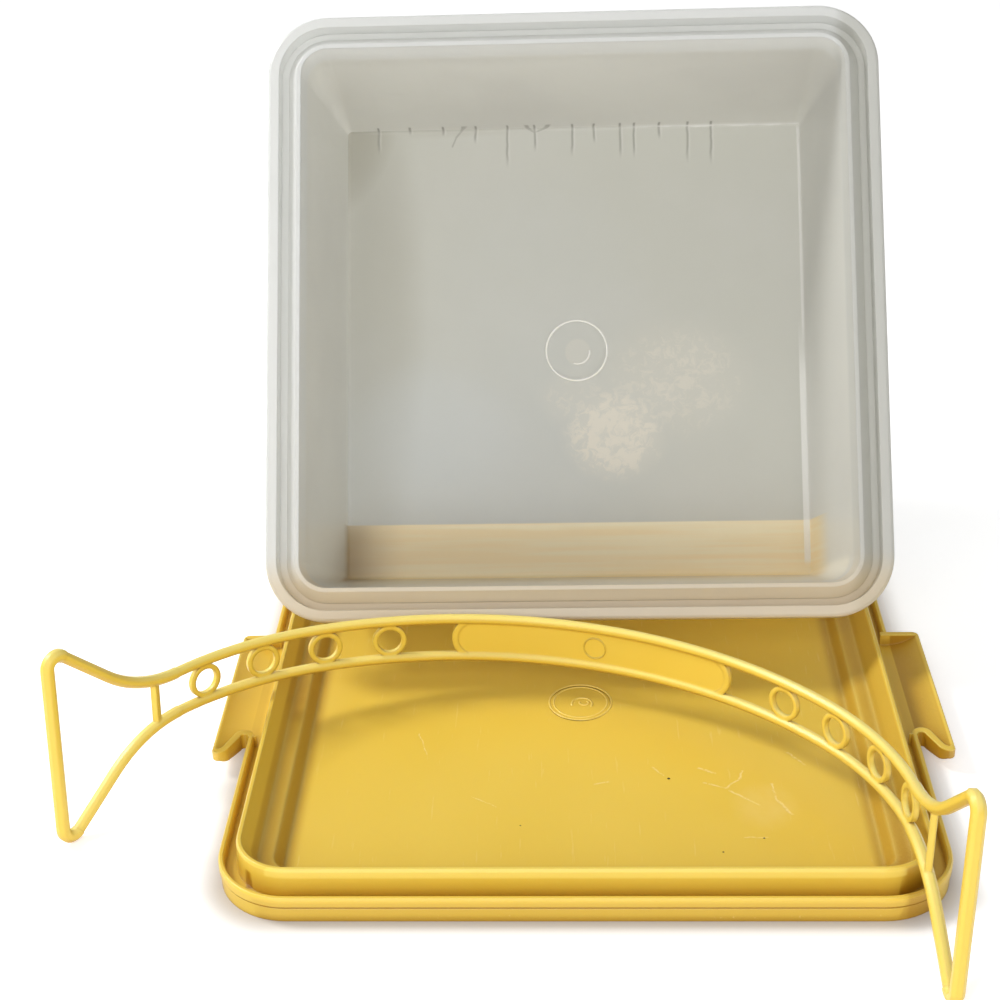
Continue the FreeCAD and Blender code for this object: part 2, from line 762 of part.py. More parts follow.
# The pose in the photograph: the cover stands on the edge of its closed end in the tray and leans back,
# and the handle stands on the table and leans its arch on the cover's rim.
cover_turn = turned("cover") * Rotation(AXIS_X, -size_of("cover_lean_angle"))
cover_turn = cover_turn * Rotation(AXIS_Y, size_of("cover_roll_angle")) * Rotation(AXIS_X, -90)
cover_foot = cover_turn.multVec(Vector(0, size_of("end_half"), size_of("cover_high")))
cover.Placement = Placement(
    Vector(
        -size_of("cover_left"),
        size_of("floor_half - cover_foot_in") - cover_foot.y,
        size_of("ring_high") - cover_foot.z,
    ),
    cover_turn,
)
seated(cover, tray, -AXIS_Z)
rim = cover.Placement.multVec(Vector(0, size_of("flange_half"), 0))
handle.Placement = Placement(
    Vector(size_of("handle_right"), rim.y - arch_run, 0),
    turned("handle") * Rotation(AXIS_X, size_of("handle_lean_angle")),
)
handle.Placement.Base.z = size_of("table_gap") - handle.Shape.BoundBox.ZMin
seated(handle, cover, AXIS_Y)
doc.recompute()

for item in doc.Objects:
    if "Invalid" in item.State or "Error" in item.State:
        raise RuntimeError(f"{item.Label} did not build: {item.State}")

for piece in (tray, cover, handle):
    shape = piece.Shape
    if shape.isNull() or not shape.isValid() or len(shape.Solids) != 1:
        raise RuntimeError(f"{piece.Label} is not one sound solid")
    shape.exportStep(f"parts/{piece.Label}.step")
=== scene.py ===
import math

import bpy
from mathutils import Matrix, Vector


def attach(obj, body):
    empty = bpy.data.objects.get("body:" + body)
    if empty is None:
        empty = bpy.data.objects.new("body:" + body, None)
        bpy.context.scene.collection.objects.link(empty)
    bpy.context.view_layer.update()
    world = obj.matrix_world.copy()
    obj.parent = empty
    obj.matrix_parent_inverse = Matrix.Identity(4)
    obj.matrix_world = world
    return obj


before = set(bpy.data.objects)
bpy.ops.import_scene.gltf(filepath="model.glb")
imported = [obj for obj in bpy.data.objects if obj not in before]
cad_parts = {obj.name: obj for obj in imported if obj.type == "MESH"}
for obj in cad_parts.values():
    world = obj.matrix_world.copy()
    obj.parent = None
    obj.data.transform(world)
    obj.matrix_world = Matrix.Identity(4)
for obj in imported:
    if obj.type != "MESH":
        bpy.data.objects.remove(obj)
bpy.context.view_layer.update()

MM = 0.001
UP = Vector((0, 0, 1))


def turned(turns, size):
    """Turns in degrees about the named axes, one after the other, as a matrix of that size."""
    result = Matrix.Identity(size)
    for angle, axis in turns:
        result = result @ Matrix.Rotation(math.radians(angle), size, axis)
    return result


# The cover's own frame in the scene: mouth centre, then across, into the cover and up the mouth.
COVER_AT = Vector((-0.8, 83.512, 135.028)) * MM
COVER_TURN = turned(((-0.53, "Z"), (-34.24, "X"), (-0.52, "Y")), 3)
END_OUT = COVER_TURN @ Vector((0, -1, 0))
# How deep its closed end lies, and how far up that end its cracks start and the pale line along its top edge
# runs.
COVER_DEEP = 82.4
END_TOP = 104.4
TOP_LINE_UP = 101.5

# The middle of the handle's grip, the way out of its convex face, and the panel's thickness.
GRIP_AT = Vector((6.104, 4.554, 25.399)) * MM
GRIP_OUT = Vector((0.2911, 0.9515, -0.0993))
GRIP_THICK = 1.6

# The top of the tray's floor over the table.
TRAY_FLOOR = 2.4


class Nodes:
    """Builds one material's node tree; a value may be a number, a colour or another node's socket."""

    def __init__(self, name):
        self.material = bpy.data.materials.new(name)
        self.material.use_nodes = True
        self.tree = self.material.node_tree
        self.tree.nodes.clear()

    def put(self, socket, value):
        if isinstance(value, bpy.types.NodeSocket):
            self.tree.links.new(value, socket)
        elif isinstance(value, (tuple, list)) and len(value) == 3 and len(socket.default_value) == 4:
            socket.default_value = (*value, 1)
        else:
            socket.default_value = value

    def node(self, kind, settings=None, **values):
        """A node with its settings; a value's key is its input's name, or i and its number."""
        made = self.tree.nodes.new(kind)
        for key, value in (settings or {}).items():
            setattr(made, key, value)
        for key, value in values.items():
            name = key.replace("_", " ")
            socket = made.inputs[int(key[1:])] if key[0] == "i" and key[1:].isdigit() else made.inputs[name]
            self.put(socket, value)
        return made

    def math(self, operation, first, second=0.0, third=0.0):
        made = self.node("ShaderNodeMath", {"operation": operation}, i0=first, i1=second, i2=third)
        return made.outputs[0]

    def chain(self, operation, values):
        result = values[0]
        for value in values[1:]:
            result = self.math(operation, result, value)
        return result

    def times(self, *values):
        return self.chain("MULTIPLY", values)

    def most(self, *values):
        return self.chain("MAXIMUM", values)

    def dot(self, vector, direction):
        made = self.node("ShaderNodeVectorMath", {"operation": "DOT_PRODUCT"}, i0=vector, i1=direction)
        return made.outputs["Value"]

    def position(self):
        """The place on the part, in millimetres."""
        place = self.node("ShaderNodeTexCoord").outputs["Object"]
        return self.node("ShaderNodeVectorMath", {"operation": "SCALE"}, i0=place, Scale=1 / MM).outputs[0]

    def local(self, place, origin, turn):
        """The place's three measures along the columns of a turn, from an origin in metres."""
        moved = self.node("ShaderNodeVectorMath", {"operation": "SUBTRACT"}, i0=place, i1=origin / MM)
        return [self.dot(moved.outputs[0], turn.col[index]) for index in range(3)]

    def split(self, place):
        return self.node("ShaderNodeSeparateXYZ", i0=place).outputs

    def vector(self, x, y, z=0.0):
        return self.node("ShaderNodeCombineXYZ", X=x, Y=y, Z=z).outputs[0]

    def noise(self, vector, scale, detail=3.0, roughness=0.5, distortion=0.0):
        made = self.node(
            "ShaderNodeTexNoise",
            Vector=vector,
            Scale=scale,
            Detail=detail,
            Roughness=roughness,
            Distortion=distortion,
        )
        return made.outputs["Fac"]

    def wander(self, value, place, scale, spread):
        """A measure that noise moves to and fro."""
        drift = self.math("SUBTRACT", self.noise(place, scale, 2.0), 0.5)
        return self.math("ADD", value, self.times(drift, spread))

    def step(self, value, low, high):
        """Nought below low, one above high, smooth between; low may be above high."""
        made = self.node("ShaderNodeMapRange", {"interpolation_type": "SMOOTHSTEP"})
        self.put(made.inputs["Value"], value)
        made.inputs["From Min"].default_value = low
        made.inputs["From Max"].default_value = high
        return made.outputs["Result"]

    def mask(self, *limits):
        """The product of steps, each given as a measure and its low and high."""
        return self.times(*[self.step(value, *limit) for value, limit in limits])

    def line(self, value, centre, half, soft):
        """One within half of the centre, falling to nought over soft more."""
        away = self.math("ABSOLUTE", self.math("SUBTRACT", value, centre))
        return self.step(away, half + soft, half)

    def stroke(self, x, y, start, end, half):
        """A soft line between two points."""
        run = Vector(end) - Vector(start)
        length = run.length
        run = run / length
        from_x = self.math("SUBTRACT", x, start[0])
        from_y = self.math("SUBTRACT", y, start[1])
        along = self.math("ADD", self.times(from_x, run[0]), self.times(from_y, run[1]))
        across = self.math("SUBTRACT", self.times(from_y, run[0]), self.times(from_x, run[1]))
        on_run = self.line(along, length / 2, length / 2, half * 2)
        return self.times(on_run, self.line(across, 0, half * 0.4, half))

    def blob(self, x, y, centre, across, up):
        """One at the centre of an oval, falling smoothly to nought at its rim."""
        from_x = self.math("DIVIDE", self.math("SUBTRACT", x, centre[0]), across)
        from_y = self.math("DIVIDE", self.math("SUBTRACT", y, centre[1]), up)
        squared = self.math("ADD", self.times(from_x, from_x), self.times(from_y, from_y))
        return self.step(squared, 1, 0)

    def blobs(self, x, y, table):
        """The most of several ovals, each a centre, its two half widths and its share."""
        ovals = [self.times(self.blob(x, y, centre, *half), share) for centre, half, share in table]
        return self.most(*ovals)

    def mix(self, share, first, second):
        made = self.node("ShaderNodeMix", {"data_type": "RGBA"}, Factor=share, i6=first, i7=second)
        return made.outputs[2]

    def bump(self, height, strength, distance, under):
        made = self.node("ShaderNodeBump", Strength=strength, Distance=distance, Height=height, Normal=under)
        return made.outputs["Normal"]

    def rounded(self, radius):
        """A normal that turns softly over the edges; radius may be a socket."""
        return self.node("ShaderNodeBevel", {"samples": 4}, Radius=radius).outputs["Normal"]

    def edges(self, rounded):
        """How far a rounded normal leans from the flat face's: nought on flats."""
        flat = self.node("ShaderNodeNewGeometry").outputs["True Normal"]
        return self.math("SUBTRACT", 1.0, self.dot(rounded, flat))

    def recess(self, distance):
        """Nought in deep recesses, one in the open."""
        return self.node("ShaderNodeAmbientOcclusion", {"samples": 4}, Distance=distance).outputs["AO"]

    def join(self, kind, first, second, **values):
        """Two shaders, added or mixed by their Fac."""
        made = self.node(kind, **values)
        sockets = [socket for socket in made.inputs if socket.type == "SHADER"]
        self.tree.links.new(first.outputs[0], sockets[0])
        self.tree.links.new(second.outputs[0], sockets[1])
        return made

    def finish(self, shader):
        out = self.node("ShaderNodeOutputMaterial")
        self.tree.links.new(shader.outputs[0], out.inputs["Surface"])
        return self.material


# The yellow plastic's tones: its own, worn, a deep one for painted shade in recesses and underneath, and a
# pale one for painted highlights on edges.
TRAY_TONES = ((0.79, 0.54, 0.062), (0.83, 0.59, 0.09), (0.42, 0.21, 0.008), (0.97, 0.83, 0.25))
HANDLE_TONES = ((0.84, 0.59, 0.07), (0.88, 0.65, 0.11), (0.45, 0.24, 0.01), (0.98, 0.86, 0.3))
TRAY_ROUNDING = 0.0007
HANDLE_ROUNDING = 0.0014
# How strongly the tops of the handle's rods take a painted highlight.
HANDLE_TOP_HIGHLIGHT = 0.55
# Broad patches, and the fine grain that roughens the surface.
MOTTLE_SCALE = 0.012
MOTTLE_RANGE = (0.25, 0.75)
MOTTLE_SHARE = 0.5
GRAIN_SCALE = 1.3
GRAIN_HEIGHT = 0.35
# Roughness stays above 0.275, where the denoiser would draw an outline round each patch.
ROUGH_LEAST = 0.29
ROUGH_SPREAD = 0.1
# Painted shade: the deep tone underneath, in creases and, half deep, where a mask asks for it.
UNDERSIDE = (0.3, -0.6)
UNDERSIDE_SHARE = 0.65
CREASE = (0.75, 0.2)
CREASE_REACH = 0.005
NOOK = (1.0, 0.65)
NOOK_SHARE = 0.65
NOOK_LEAST = 0.35
# Painted highlight: the pale tone on rolled edges that look up, and on the tops of thin rods.
EDGE_LEAN = (0.015, 0.12)
EDGE_OPEN = (0.55, 0.85)
EDGE_UP = (0.2, 0.75)
EDGE_SHARE = 0.6
TOP_UP = (0.35, 0.9)


def yellow_plastic(name, tones, radius, marks=None, soften=None, top_highlight=0.0):
    """Satin dyed polyethylene, with painted shade in its recesses and underneath and painted highlights on
    its rolled edges.
    """
    base, worn, deep, edge_highlight = tones
    n = Nodes(name)
    place = n.position()
    mottle = n.noise(place, MOTTLE_SCALE)
    colour = n.mix(n.times(n.step(mottle, *MOTTLE_RANGE), MOTTLE_SHARE), base, worn)
    soft, reach, shaded = soften(n, place, radius) if soften else (radius, CREASE_REACH, 0.0)
    rounded = n.rounded(soft)
    upward = n.dot(rounded, UP)
    opened = n.recess(reach)
    # Painted shade: the deep tone underneath, in creases and where a mask asks for it.
    colour = n.mix(n.times(n.step(upward, *UNDERSIDE), UNDERSIDE_SHARE), colour, deep)
    shade = n.times(n.math("MULTIPLY_ADD", n.step(opened, *NOOK), NOOK_SHARE, NOOK_LEAST), shaded)
    colour = n.mix(n.most(n.step(opened, *CREASE), shade), colour, deep)
    # Painted highlight: the pale tone on rolled edges that look up, and on the tops of rods.
    lean = n.mask((n.edges(rounded), EDGE_LEAN), (opened, EDGE_OPEN), (upward, EDGE_UP))
    lean = n.most(n.times(lean, EDGE_SHARE), n.times(n.step(upward, *TOP_UP), top_highlight))
    colour = n.mix(lean, colour, edge_highlight)
    height = n.times(n.noise(place, GRAIN_SCALE, 2.0), GRAIN_HEIGHT)
    rough = n.math("MULTIPLY_ADD", mottle, ROUGH_SPREAD, ROUGH_LEAST)
    if marks:
        colour, rough, height = marks(n, place, colour, rough, height)
    shader = n.node(
        "ShaderNodeBsdfPrincipled",
        Base_Color=colour,
        Roughness=rough,
        IOR=1.5,
        Subsurface_Weight=0.12,
        Subsurface_Radius=(0.003, 0.0018, 0.0004),
        Normal=n.bump(height, 0.3, 0.0002, rounded),
    )
    return n.finish(shader)


# Regions of the tray that take painted shade or wider rounding, in millimetres from its middle and over the
# table, each with a soft border.
RIGHT_HALF = (-1, 1)
IN_RING = (115, 113.5)
BELOW_RING = (12.5, 11)
LEDGE = (98, 103)
EAR_FROM = (126, 127)
EAR_BELOW = (9.6, 9.2)
RIGHT_WALL_FROM = (104, 108)
RIGHT_WALL_TO = (117.4, 116.8)
RIGHT_WALL_BELOW = (16.5, 15.5)
SKIRT_FROM = (122, 124)
SKIRT_TO = (127, 126)
SKIRT_BELOW = (8.6, 7.6)
# How deep the left ear's painted shade is and how much deeper the right one's, then the painted shade of the
# wall and of the skirt.
EAR_LEFT_SHADE = 0.3
EAR_RIGHT_MORE = 0.6
RIGHT_WALL_SHADE = 0.9
SKIRT_SHADE = 0.7
# Wider rounding inside the ring, and how far the painted shade looks for walls, in metres.
LEDGE_ROUNDING = 0.0022
SHADE_REACH = 0.003
SHADE_REACH_MORE = 0.015


def tray_rounding_and_shade(n, place, radius):
    """Wider rounding and painted shade where the sunk floor's ledges turn, and painted shade in the ears, on
    the ring's right inner wall and on the skirt.
    """
    x, y, z = n.split(place)
    beside = n.math("ABSOLUTE", x)
    out = n.most(beside, n.math("ABSOLUTE", y))
    inside = n.mask((out, IN_RING), (z, BELOW_RING))
    ear_depth = n.math("MULTIPLY_ADD", n.step(x, *RIGHT_HALF), EAR_RIGHT_MORE, EAR_LEFT_SHADE)
    ear = n.times(n.mask((beside, EAR_FROM), (z, EAR_BELOW)), ear_depth)
    wall = n.mask((x, RIGHT_WALL_FROM), (x, RIGHT_WALL_TO), (z, RIGHT_WALL_BELOW))
    shaded = n.most(n.times(inside, n.step(out, *LEDGE)), ear, n.times(wall, RIGHT_WALL_SHADE))
    skirt = n.times(n.mask((out, SKIRT_FROM), (z, SKIRT_BELOW), (beside, SKIRT_TO)), SKIRT_SHADE)
    soft = n.math("MULTIPLY_ADD", inside, LEDGE_ROUNDING, radius)
    reach = n.math("MULTIPLY_ADD", shaded, SHADE_REACH_MORE, SHADE_REACH)
    return soft, reach, n.most(shaded, skirt)


# Scratches of the tray's floor, each with both ends across and back from its middle, and half its width.
TRAY_SCRATCHES = (
    ((43.6, -43.0), (49.2, -46.2), 0.5),
    ((45.0, -52.0), (53.0, -55.5), 0.35),
    ((54.0, -57.0), (63.8, -65.4), 0.35),
    ((59.5, -45.0), (58.0, -50.0), 0.5),
    ((58.0, -50.0), (53.0, -55.0), 0.4),
    ((69.5, -53.0), (70.5, -62.0), 0.4),
    ((70.5, -62.0), (74.8, -70.5), 0.5),
    ((77.6, -33.5), (83.0, -41.0), 0.4),
    ((26.5, -42.5), (30.5, -47.5), 0.3),
    ((5.0, -52.5), (9.5, -51.5), 0.4),
    ((57.0, -84.0), (66.0, -84.0), 0.25),
    ((-40.0, -60.0), (-31.0, -66.0), 0.2),
    ((-62.0, -20.0), (-58.0, -34.0), 0.2),
)
# Specks, each with its place and size, and the hazy patch among the scratches.
TRAY_SPECKS = ((32.2, -49.4, 0.75), (63.8, -84.4, 0.5), (48.9, -92.0, 0.5), (-22.0, -77.0, 0.4))
TRAY_HAZE = ((66, -66), 14, 16)
SCRATCH_PALE = (0.93, 0.73, 0.3)
SPECK_DARK = (0.05, 0.025, 0.005)
# Painted light: the ring's front face is painted a little paler than the rest.
RING_FRONT_LIGHT = (0.97, 0.8, 0.18)
RING_FRONT_FROM = (-117.2, -117.8)
RING_FRONT_TO = (-120.5, -120)
RING_FRONT_OVER = (12.6, 13.6)
WANDER = 1.6


def tray_marks(n, place, colour, rough, height):
    """The floor's scratches, specks and fine wear, and painted light on the ring's front face."""
    x, y, z = n.split(place)
    on_floor = n.mask((z, (TRAY_FLOOR + 0.6, TRAY_FLOOR + 0.3)), (z, (1.0, 1.6)))
    bent_x = n.wander(x, place, 0.35, WANDER)
    bent_y = n.wander(y, place, 0.27, WANDER)
    cuts = n.most(*[n.stroke(bent_x, bent_y, *cut) for cut in TRAY_SCRATCHES])
    cuts = n.times(cuts, n.step(n.noise(place, 1.1, 2.0), 0.3, 0.55), on_floor)
    haze = n.times(n.blob(x, y, *TRAY_HAZE), n.noise(place, 0.2, 4.0), on_floor)
    specks = n.most(*[n.blob(x, y, (right, back), size, size) for right, back, size in TRAY_SPECKS])
    fine = n.noise(n.vector(n.times(x, 0.9), n.times(y, 0.06), z), 1.0)
    fine = n.times(n.step(fine, 0.66, 0.74), on_floor, 0.35)
    # Painted light on the ring's front face.
    lit_ring_front = n.mask((y, RING_FRONT_FROM), (y, RING_FRONT_TO), (z, RING_FRONT_OVER))
    colour = n.mix(n.times(lit_ring_front, 0.35), colour, RING_FRONT_LIGHT)
    colour = n.mix(n.times(haze, 0.35), colour, SCRATCH_PALE)
    colour = n.mix(n.times(n.most(cuts, fine), 0.7), colour, SCRATCH_PALE)
    colour = n.mix(n.times(n.step(specks, 0.2, 0.6), on_floor), colour, SPECK_DARK)
    rough = n.math("ADD", rough, n.times(n.most(cuts, haze), 0.25))
    height = n.math("SUBTRACT", height, n.times(cuts, 0.8))
    return colour, rough, height


# The cover's tones.
MILK_WALL = (0.97, 0.965, 0.91)
MILK_CLOUD = (0.8, 0.79, 0.75)
MILK_END = (0.68, 0.675, 0.61)
MILK_END_COOL = (0.64, 0.66, 0.65)
MILK_RIM = (0.95, 0.955, 0.93)
# The next three paint the tray's colour as a reflection on the rim and as seen through the end's lowest part;
# the dark one darkens its left end.
TAN = (0.98, 0.78, 0.44)
TAN_PALE = (1.0, 0.88, 0.6)
TAN_DARK = (0.36, 0.25, 0.12)
CRACK_DARK = (0.22, 0.21, 0.17)
# White for the painted highlight down the end's right corner, the pale line along its top edge and the
# cracks' lips.
LINE_WHITE = (1.0, 0.99, 0.96)
SCUFF_PALE = (0.97, 0.9, 0.78)
# Painted shade for the end's top-left corner, its left side and the left of its top edge.
END_SHADE = (0.36, 0.33, 0.24)
# Painted sheen: a cool reflection on the end.
SHEEN = (0.74, 0.78, 0.82)
# Painted glow: the colour of a faint emission low down in the cover.
PAINTED_GLOW = (1.0, 0.85, 0.5)
SEEN_THROUGH = (0.8, 0.8, 0.76)
# Ovals on its closed end in millimetres: centre across and up, half widths and share; the first for painted
# shade in the top-left corner, down the left side and along the top edge's left, the second for a painted
# sheen, the third for scuffs.
END_SHADE_OVALS = (((-104, 104), (30, 52), 1.0), ((-88, 20), (24, 120), 0.5), ((-60, 106), (60, 9), 0.5))
SHEENS = (((-62, -38), (44, 40), 1.0), ((-20, 30), (60, 60), 0.4))
SCUFFS = (((17, -38), (27, 25), 1.0), ((44, -14), (40, 32), 0.5), ((0, -22), (20, 16), 0.4))
GATE = ((1.1, -1.3), 7.0, 7.4)
# Short cracks that run down from the end's top edge: place across it and length.
CRACKS = (
    (-87.6, 14.0), (-73.4, 5.0), (-58.5, 6.0), (-43.6, 10.0), (-29.4, 22.0), (-17.0, 14.5),
    (-0.2, 17.0), (9.7, 11.0), (21.3, 18.5), (27.6, 18.5), (38.9, 9.5), (51.4, 21.5), (62.0, 22.5),
)
# Slanting cracks between them: both ends across and up, and half the width.
SLANTS = (
    ((-23.4, 103.4), (-17.0, 99.8), 0.5),
    ((-17.0, 99.8), (-5.5, 103.8), 0.4),
    ((-43.6, 103.6), (-49.6, 101.6), 0.4),
    ((-49.6, 101.6), (-52.4, 98.2), 0.5),
    ((-52.4, 98.2), (-54.2, 94.0), 0.4),
)
# How far in the rim reaches, and from where its right flange takes a painted shade.
RIM_IN = (13, 8)
FLANGE_RIGHT_SHADE = (106, 112)


def corner_highlight_and_top_line(n, place, across, up, on_end):
    """A painted highlight down the end's right corner, fainter towards the top, and a ragged pale line along
    its top edge.
    """
    right = n.times(n.line(across, 100.2, 1.1, 0.6), n.mask((up, (14, -20)), (up, (-98, -94))), on_end)
    faint = n.mask((up, (-10, 14)), (up, (101, 99)))
    faint = n.times(n.line(across, 101.0, 0.35, 0.5), faint, on_end, 0.7)
    ragged = n.wander(up, place, 0.12, 1.5)
    top = n.times(n.line(ragged, TOP_LINE_UP, 0.4, 0.5), n.step(across, 14, 44), on_end)
    return n.most(right, faint, n.times(top, 0.8))


def cracks_and_lips(n, place, across, into, up, inner):
    """Cracks that run down from the end's top edge, and the pale lip beside each."""
    near_edge = n.step(into, COVER_DEEP - 5, COVER_DEEP - 3)
    bent = n.wander(across, place, 0.1, WANDER)
    cracks = []
    lips = []
    for middle, length in CRACKS:
        reach = n.step(up, END_TOP - length, END_TOP - length * 0.6)
        cracks.append(n.times(n.line(bent, middle, 0.15, 0.7), reach))
        lips.append(n.times(n.line(bent, middle + 0.9, 0.15, 0.5), reach))
    cracks += [n.times(n.stroke(across, up, *slant), 0.8) for slant in SLANTS]
    return n.times(n.most(*cracks), near_edge, inner), n.times(n.most(*lips), near_edge, inner)


def milky_plastic(name):
    """Milky translucent polyethylene, whiter in the thick rim, cracked and scuffed inside its closed end,
    with painted shade, sheen, highlight, reflection and glow.
    """
    n = Nodes(name)
    place = n.position()
    across, into, up = n.local(place, COVER_AT, COVER_TURN)
    inner = n.step(into, COVER_DEEP + 0.9, COVER_DEEP + 0.5)
    on_end = n.times(inner, n.step(into, COVER_DEEP - 1.2, COVER_DEEP - 0.4))
    rim = n.step(into, *RIM_IN)
    cool = n.mask((up, (30, -60)), (across, (60, -30)))
    milk = n.mix(on_end, MILK_WALL, n.mix(cool, MILK_END, MILK_END_COOL))
    milk = n.mix(n.times(n.step(n.noise(place, 0.016), 0.35, 0.7), 0.3), milk, MILK_CLOUD)
    milk = n.mix(rim, milk, MILK_RIM)
    # Painted shade on the right flange.
    milk = n.mix(n.times(n.step(across, *FLANGE_RIGHT_SHADE), rim, 0.6), milk, MILK_END)
    # Painted shade on the end's top-left corner and left side.
    milk = n.mix(n.times(n.blobs(across, up, END_SHADE_OVALS), on_end, 0.7), milk, END_SHADE)
    # Painted sheen: a cool reflection on the end.
    milk = n.mix(n.times(n.blobs(across, up, SHEENS), on_end, 0.3), milk, SHEEN)

    # Painted reflection: the tray's colour, painted where it would be thrown up at the rim's lower side and
    # seen through the lowest part of the closed end, darker towards its left end.
    milk = n.mix(n.times(n.mask((up, (-96, -112)), (into, (12, 9))), 0.45), milk, TAN)
    tan = n.times(n.step(up, -77.2, -77.9), inner, n.mask((into, (45, 75)), (across, (-102.5, -101))))
    tan_streak = n.noise(n.vector(n.times(across, 0.01), n.times(up, 0.25)), 1.0)
    tan_colour = n.mix(n.step(tan_streak, 0.35, 0.65), TAN, TAN_PALE)
    tan_colour = n.mix(n.times(n.step(across, -74, -100), 0.8), tan_colour, TAN_DARK)
    milk = n.mix(n.times(tan, 0.95), milk, tan_colour)

    # Wear: a cloud of scuffs, the haze round it and on the gate, and cracks; then a painted highlight down
    # the right corner and a pale line along the top edge.
    scuff_mask = n.blobs(across, up, SCUFFS)
    flakes = n.noise(place, 0.2, 8.0, 0.7, 0.7)
    flakes = n.step(n.math("ADD", flakes, n.times(scuff_mask, 0.14)), 0.53, 0.67)
    scuffs = n.times(flakes, n.step(scuff_mask, 0.0, 0.9), on_end)
    gate = n.step(n.blob(across, up, *GATE), 0.1, 0.5)
    haze = n.times(n.most(n.times(scuff_mask, 0.45), n.times(gate, 0.25)), on_end)
    cracked, lipped = cracks_and_lips(n, place, across, into, up, inner)
    highlight_lines = corner_highlight_and_top_line(n, place, across, up, on_end)
    milk = n.mix(haze, milk, SCUFF_PALE)
    milk = n.mix(n.times(scuffs, 0.8), milk, SCUFF_PALE)
    milk = n.mix(n.times(cracked, 0.65), milk, CRACK_DARK)
    # Painted highlight down the right corner, the top edge's pale line and the cracks' lips, in white.
    milk = n.mix(n.times(n.most(highlight_lines, n.times(lipped, 0.25)), 0.95), milk, LINE_WHITE)

    # A slight ripple of the walls, fine grain, and the cracks cut in.
    ripple = n.noise(n.vector(n.times(across, 0.05), n.times(into, 0.05), n.times(up, 0.012)), 1.0, 2.0)
    height = n.math("ADD", n.times(n.noise(place, 0.9, 2.0), 0.15), ripple)
    height = n.math("SUBTRACT", height, n.times(cracked, 0.8))
    normal = n.bump(height, 0.18, 0.0006, n.rounded(0.0007))

    # Half its light goes through; the thin walls also let a blurred view through.
    body = n.node("ShaderNodeBsdfDiffuse", Color=milk, Normal=normal)
    through = n.node("ShaderNodeBsdfTranslucent", Color=milk, Normal=normal)
    milky = n.join("ShaderNodeMixShader", body, through, Fac=0.5)
    clear = n.node("ShaderNodeBsdfRefraction", Color=SEEN_THROUGH, Roughness=0.4, IOR=1.15)
    clearness = n.times(n.step(into, 8, 14), n.math("MULTIPLY_ADD", on_end, 0.16, 0.12))
    seen = n.join("ShaderNodeMixShader", milky, clear, Fac=clearness)
    # Painted glow: a faint emission low down in the plastic, where the tray's colour would be thrown in.
    low = n.most(tan, n.mask((up, (-97, -101)), (into, (14, 20))))
    low = n.times(low, 0.1, n.step(across, -112, -84))
    lit = n.join("ShaderNodeAddShader", seen, n.node("ShaderNodeEmission", Color=PAINTED_GLOW, Strength=low))
    gloss = n.node("ShaderNodeBsdfGlossy", Roughness=0.28, Normal=normal)
    edge = n.node("ShaderNodeFresnel", IOR=1.42, Normal=normal)
    return n.finish(n.join("ShaderNodeMixShader", lit, gloss, Fac=edge.outputs[0]))


def mark_plastic(name, pale, bright):
    """The raised lines of a moulding mark, a little paler than the plastic round them."""
    n = Nodes(name)
    shader = n.node(
        "ShaderNodeBsdfPrincipled",
        Base_Color=n.mix(n.noise(n.position(), 0.3), pale, bright),
        Roughness=0.3,
        Subsurface_Weight=0.3,
        Subsurface_Radius=(0.002, 0.002, 0.001),
    )
    return n.finish(shader)


def dress(node, material):
    """Gives a solid of the frame its material and slot."""
    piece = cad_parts[node]
    piece.data.materials.clear()
    piece.data.materials.append(material)


tray_plastic = yellow_plastic("tray_plastic", TRAY_TONES, TRAY_ROUNDING, tray_marks, tray_rounding_and_shade)
handle_plastic = yellow_plastic("handle_plastic", HANDLE_TONES, HANDLE_ROUNDING, top_highlight=HANDLE_TOP_HIGHLIGHT)
cover_plastic = milky_plastic("cover_plastic")
cover_line_plastic = mark_plastic("cover_mark_plastic", (0.82, 0.8, 0.74), (0.95, 0.94, 0.9))
tray_line_plastic = mark_plastic("tray_mark_plastic", (0.82, 0.58, 0.1), (0.92, 0.72, 0.2))
dress("base_tray", tray_plastic)
dress("carry_handle", handle_plastic)
dress("cover", cover_plastic)

# A raised line's section has this many sides, and is lower than wide; its bends are this many degrees.
LINE_SIDES = 10
LINE_FLAT = 0.8
LINE_BEND = 5


def ring(name, body, slot, material, centre, normal, radius, thick, start=0.0, turn=360.0):
    """A low raised moulding line round a centre, in millimetres; a part of a ring where turn is under 360."""
    steps = max(8, round(turn / LINE_BEND))
    closed = turn >= 360
    frame_turn = Vector(normal).to_track_quat("Z", "Y").to_matrix()
    points = []
    for number in range(steps if closed else steps + 1):
        angle = math.radians(start + turn * number / steps)
        for side in range(LINE_SIDES):
            lean = 2 * math.pi * side / LINE_SIDES
            out = radius + thick / 2 * math.cos(lean)
            rise = thick / 2 * LINE_FLAT * math.sin(lean)
            local = Vector((out * math.cos(angle), out * math.sin(angle), rise)) * MM
            points.append(centre + frame_turn @ local)
    faces = []
    rows = len(points) // LINE_SIDES
    for number in range(rows if closed else rows - 1):
        here = number * LINE_SIDES
        after = (number + 1) % rows * LINE_SIDES
        for side in range(LINE_SIDES):
            beside = (side + 1) % LINE_SIDES
            faces.append((here + side, after + side, after + beside, here + beside))
    if not closed:
        faces.append(tuple(range(LINE_SIDES)))
        faces.append(tuple(reversed(range((rows - 1) * LINE_SIDES, rows * LINE_SIDES))))
    mesh = bpy.data.meshes.new(name)
    mesh.from_pydata(points, [], faces)
    mesh.polygons.foreach_set("use_smooth", [True] * len(faces))
    mesh.materials.append(material)
    made = bpy.data.objects.new(name, mesh)
    bpy.context.scene.collection.objects.link(made)
    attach(made, body)


def floor_point(across, back):
    return Vector((0.2 + across, 0.8 + back, TRAY_FLOOR)) * MM


